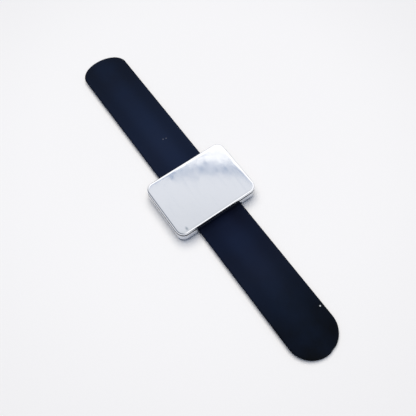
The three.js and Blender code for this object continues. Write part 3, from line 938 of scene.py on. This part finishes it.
# Paper floor: a matt pale board, faintly mottled by its fibres, with a painted fall-off of light
# that greys it away from its middle
def paperFloor():
    material, tree, shader = newFinish("matt_paper_board")
    place = addNode(tree, "TexCoord").outputs["Object"]
    fibre = addNode(tree, "TexNoise", {
        "Vector": place, "Scale": 1 / (studio["fibreSize"] * mm), "Detail": 3.0})
    away = addNode(tree, "VectorMath", {
        0: place, 1: tuple(part * mm for part in studio["falloffMiddle"])}, operation="DISTANCE")
    lightFalloff = addNode(tree, "MapRange", {
        "Value": away.outputs["Value"],
        **ends("From", studio["falloffSpan"], mm)}, interpolation_type="SMOOTHSTEP")
    tone = addNode(tree, "MixRGB", {
        "Fac": lightFalloff, "Color1": linear(studio["floorColour"]),
        "Color2": linear(studio["floorEdgeColour"])})
    mottle = addNode(tree, "MapRange", {"Value": fibre, **ends("To", studio["fibreTone"])})
    board = addNode(tree, "VectorMath", {0: tone, "Scale": mottle}, operation="SCALE")
    fillInputs(tree, shader, {"Base Color": board, "Roughness": 1.0, "Specular IOR Level": 0.0})
    half = studio["floorSize"] / 2
    corners = [(-half, -half, 0), (half, -half, 0), (half, half, 0), (-half, half, 0)]
    mesh = bpy.data.meshes.new("studio_floor")
    mesh.from_pydata(corners, [], [(0, 1, 2, 3)])
    mesh.materials.append(material)
    floor = bpy.data.objects.new("studio_floor", mesh)
    bpy.context.scene.collection.objects.link(floor)


# The tent: every surface is lit by a pale sky that is brightest overhead, as height to a power.
# Polished metal sees its cloth: bright walls on one side and shaded ones opposite, darker towards
# the horizon, a pale top that is a little greyer overhead, and between them a thin, ragged,
# blue-grey seam. The camera sees the backdrop.
def lightTent():
    world = bpy.data.worlds.new("light_tent")
    bpy.context.scene.world = world
    world.use_nodes = True
    tree = world.node_tree
    tree.nodes.clear()
    direction = addNode(tree, "TexCoord").outputs["Generated"]
    parts = addNode(tree, "SeparateXYZ", {"Vector": direction})
    height = parts.outputs["Z"]
    brightening = addNode(tree, "Math", {
        0: height, 1: studio["overheadPower"]}, operation="POWER", use_clamp=True)
    sky = addNode(tree, "MixRGB", {
        "Fac": brightening, "Color1": studio["lowAmbient"], "Color2": studio["highAmbient"]})
    side = addNode(tree, "MapRange", {
        "Value": parts.outputs["Y"],
        **ends("From", studio["wallSpan"])}, interpolation_type="SMOOTHSTEP")
    walls = addNode(tree, "MixRGB", {
        "Fac": side, "Color1": studio["dimWall"], "Color2": studio["brightWall"]})
    horizon = addNode(tree, "MapRange", {
        "Value": height, **ends("From", studio["horizonSpan"]),
        "To Min": studio["horizonShare"]}, interpolation_type="SMOOTHSTEP")
    hung = addNode(tree, "VectorMath", {0: walls, "Scale": horizon}, operation="SCALE")
    zenith = addNode(tree, "MapRange", {
        "Value": height, **ends("From", studio["zenithSpan"])}, interpolation_type="SMOOTHSTEP")
    top = addNode(tree, "MixRGB", {
        "Fac": zenith, "Color1": studio["clothTone"], "Color2": studio["zenithTone"]})
    # folds of the cloth run down to the seam and make its edge ragged
    drawn = addNode(tree, "Mapping", {"Vector": direction, "Scale": studio["foldStretch"]})
    folds = addNode(tree, "TexNoise", {
        "Vector": drawn, "Scale": studio["foldScale"], "Detail": 3.0, "Roughness": 0.65,
        "Distortion": 0.4})
    rise = addNode(tree, "Math", {0: height}, operation="ARCSINE")
    fold = math.radians(studio["foldReach"])
    seam = math.radians(studio["seamHeight"]) + fold / 2
    ragged = addNode(tree, "Math", {0: folds, 1: fold, 2: rise}, operation="MULTIPLY_ADD")
    overSeam = addNode(tree, "MapRange", {
        "Value": ragged, "From Min": seam,
        "From Max": seam + math.radians(studio["seamWidth"])}, interpolation_type="SMOOTHSTEP")
    seamTone = addNode(tree, "MixRGB", {
        "Fac": overSeam, "Color1": linear(studio["seamColour"]), "Color2": top})
    onWall = addNode(tree, "MapRange", {
        "Value": ragged, "From Min": seam, "From Max": seam - math.radians(studio["wallFade"])})
    seen = addNode(tree, "MixRGB", {"Fac": onWall, "Color1": seamTone, "Color2": hung})
    light = addNode(tree, "Background", {"Color": sky})
    mirror = addNode(tree, "Background", {"Color": seen})
    backdrop = addNode(tree, "Background", {"Color": linear(studio["floorEdgeColour"])})
    # metal and glass see the cloth, but not on rays that first met a matt surface
    ray = addNode(tree, "LightPath")
    shiny = addNode(tree, "Math", {
        0: ray.outputs["Is Glossy Ray"],
        1: ray.outputs["Is Transmission Ray"]}, operation="MAXIMUM")
    seenFirst = addNode(tree, "Math", {
        0: ray.outputs["Diffuse Depth"], 1: 0.5}, operation="LESS_THAN")
    mirrored = addNode(tree, "Math", {0: shiny, 1: seenFirst}, operation="MULTIPLY")
    lit = addNode(tree, "MixShader", {0: mirrored, 1: light, 2: mirror})
    whole = addNode(tree, "MixShader", {0: ray.outputs["Is Camera Ray"], 1: lit, 2: backdrop})
    addNode(tree, "OutputWorld", {"Surface": whole})


camera = {
    "azimuth": 55.05,
    "elevation": 65.69,
    "roll": -0.53,
    "target": (9.42, -1.72, 0.0),
    "distance": 294.9,
    "sensor": 36,
    "focal": 500 / 416,     # as a share of the sensor's width
    "clip": (0.01, 50),     # in metres
}


# The camera looks at the target from its azimuth, which starts at -Y, and its elevation, and leans
# by its roll
def placeCamera():
    azimuth = math.radians(camera["azimuth"])
    elevation = math.radians(camera["elevation"])
    back = np.array([math.sin(azimuth) * math.cos(elevation),
                     -math.cos(azimuth) * math.cos(elevation), math.sin(elevation)])
    right = np.array([math.cos(azimuth), math.sin(azimuth), 0.0])
    roll = math.radians(camera["roll"])
    across = math.cos(roll) * right + math.sin(roll) * np.cross(back, right)
    upwards = np.cross(back, across)
    place = (np.array(camera["target"]) + back * camera["distance"]) * mm
    data = bpy.data.cameras.new("photo_camera")
    data.sensor_width = camera["sensor"]
    data.lens = camera["focal"] * camera["sensor"]
    data.clip_start, data.clip_end = camera["clip"]
    viewer = bpy.data.objects.new("photo_camera", data)
    matrix = np.eye(4)
    matrix[:3, 0], matrix[:3, 1], matrix[:3, 2], matrix[:3, 3] = across, upwards, back, place
    viewer.matrix_world = Matrix(matrix.tolist())
    bpy.context.scene.collection.objects.link(viewer)
    bpy.context.scene.camera = viewer


paperFloor()
lightTent()
keyLamp()
placeCamera()
bpy.context.scene.view_settings.view_transform = "Standard"
print("studio set")
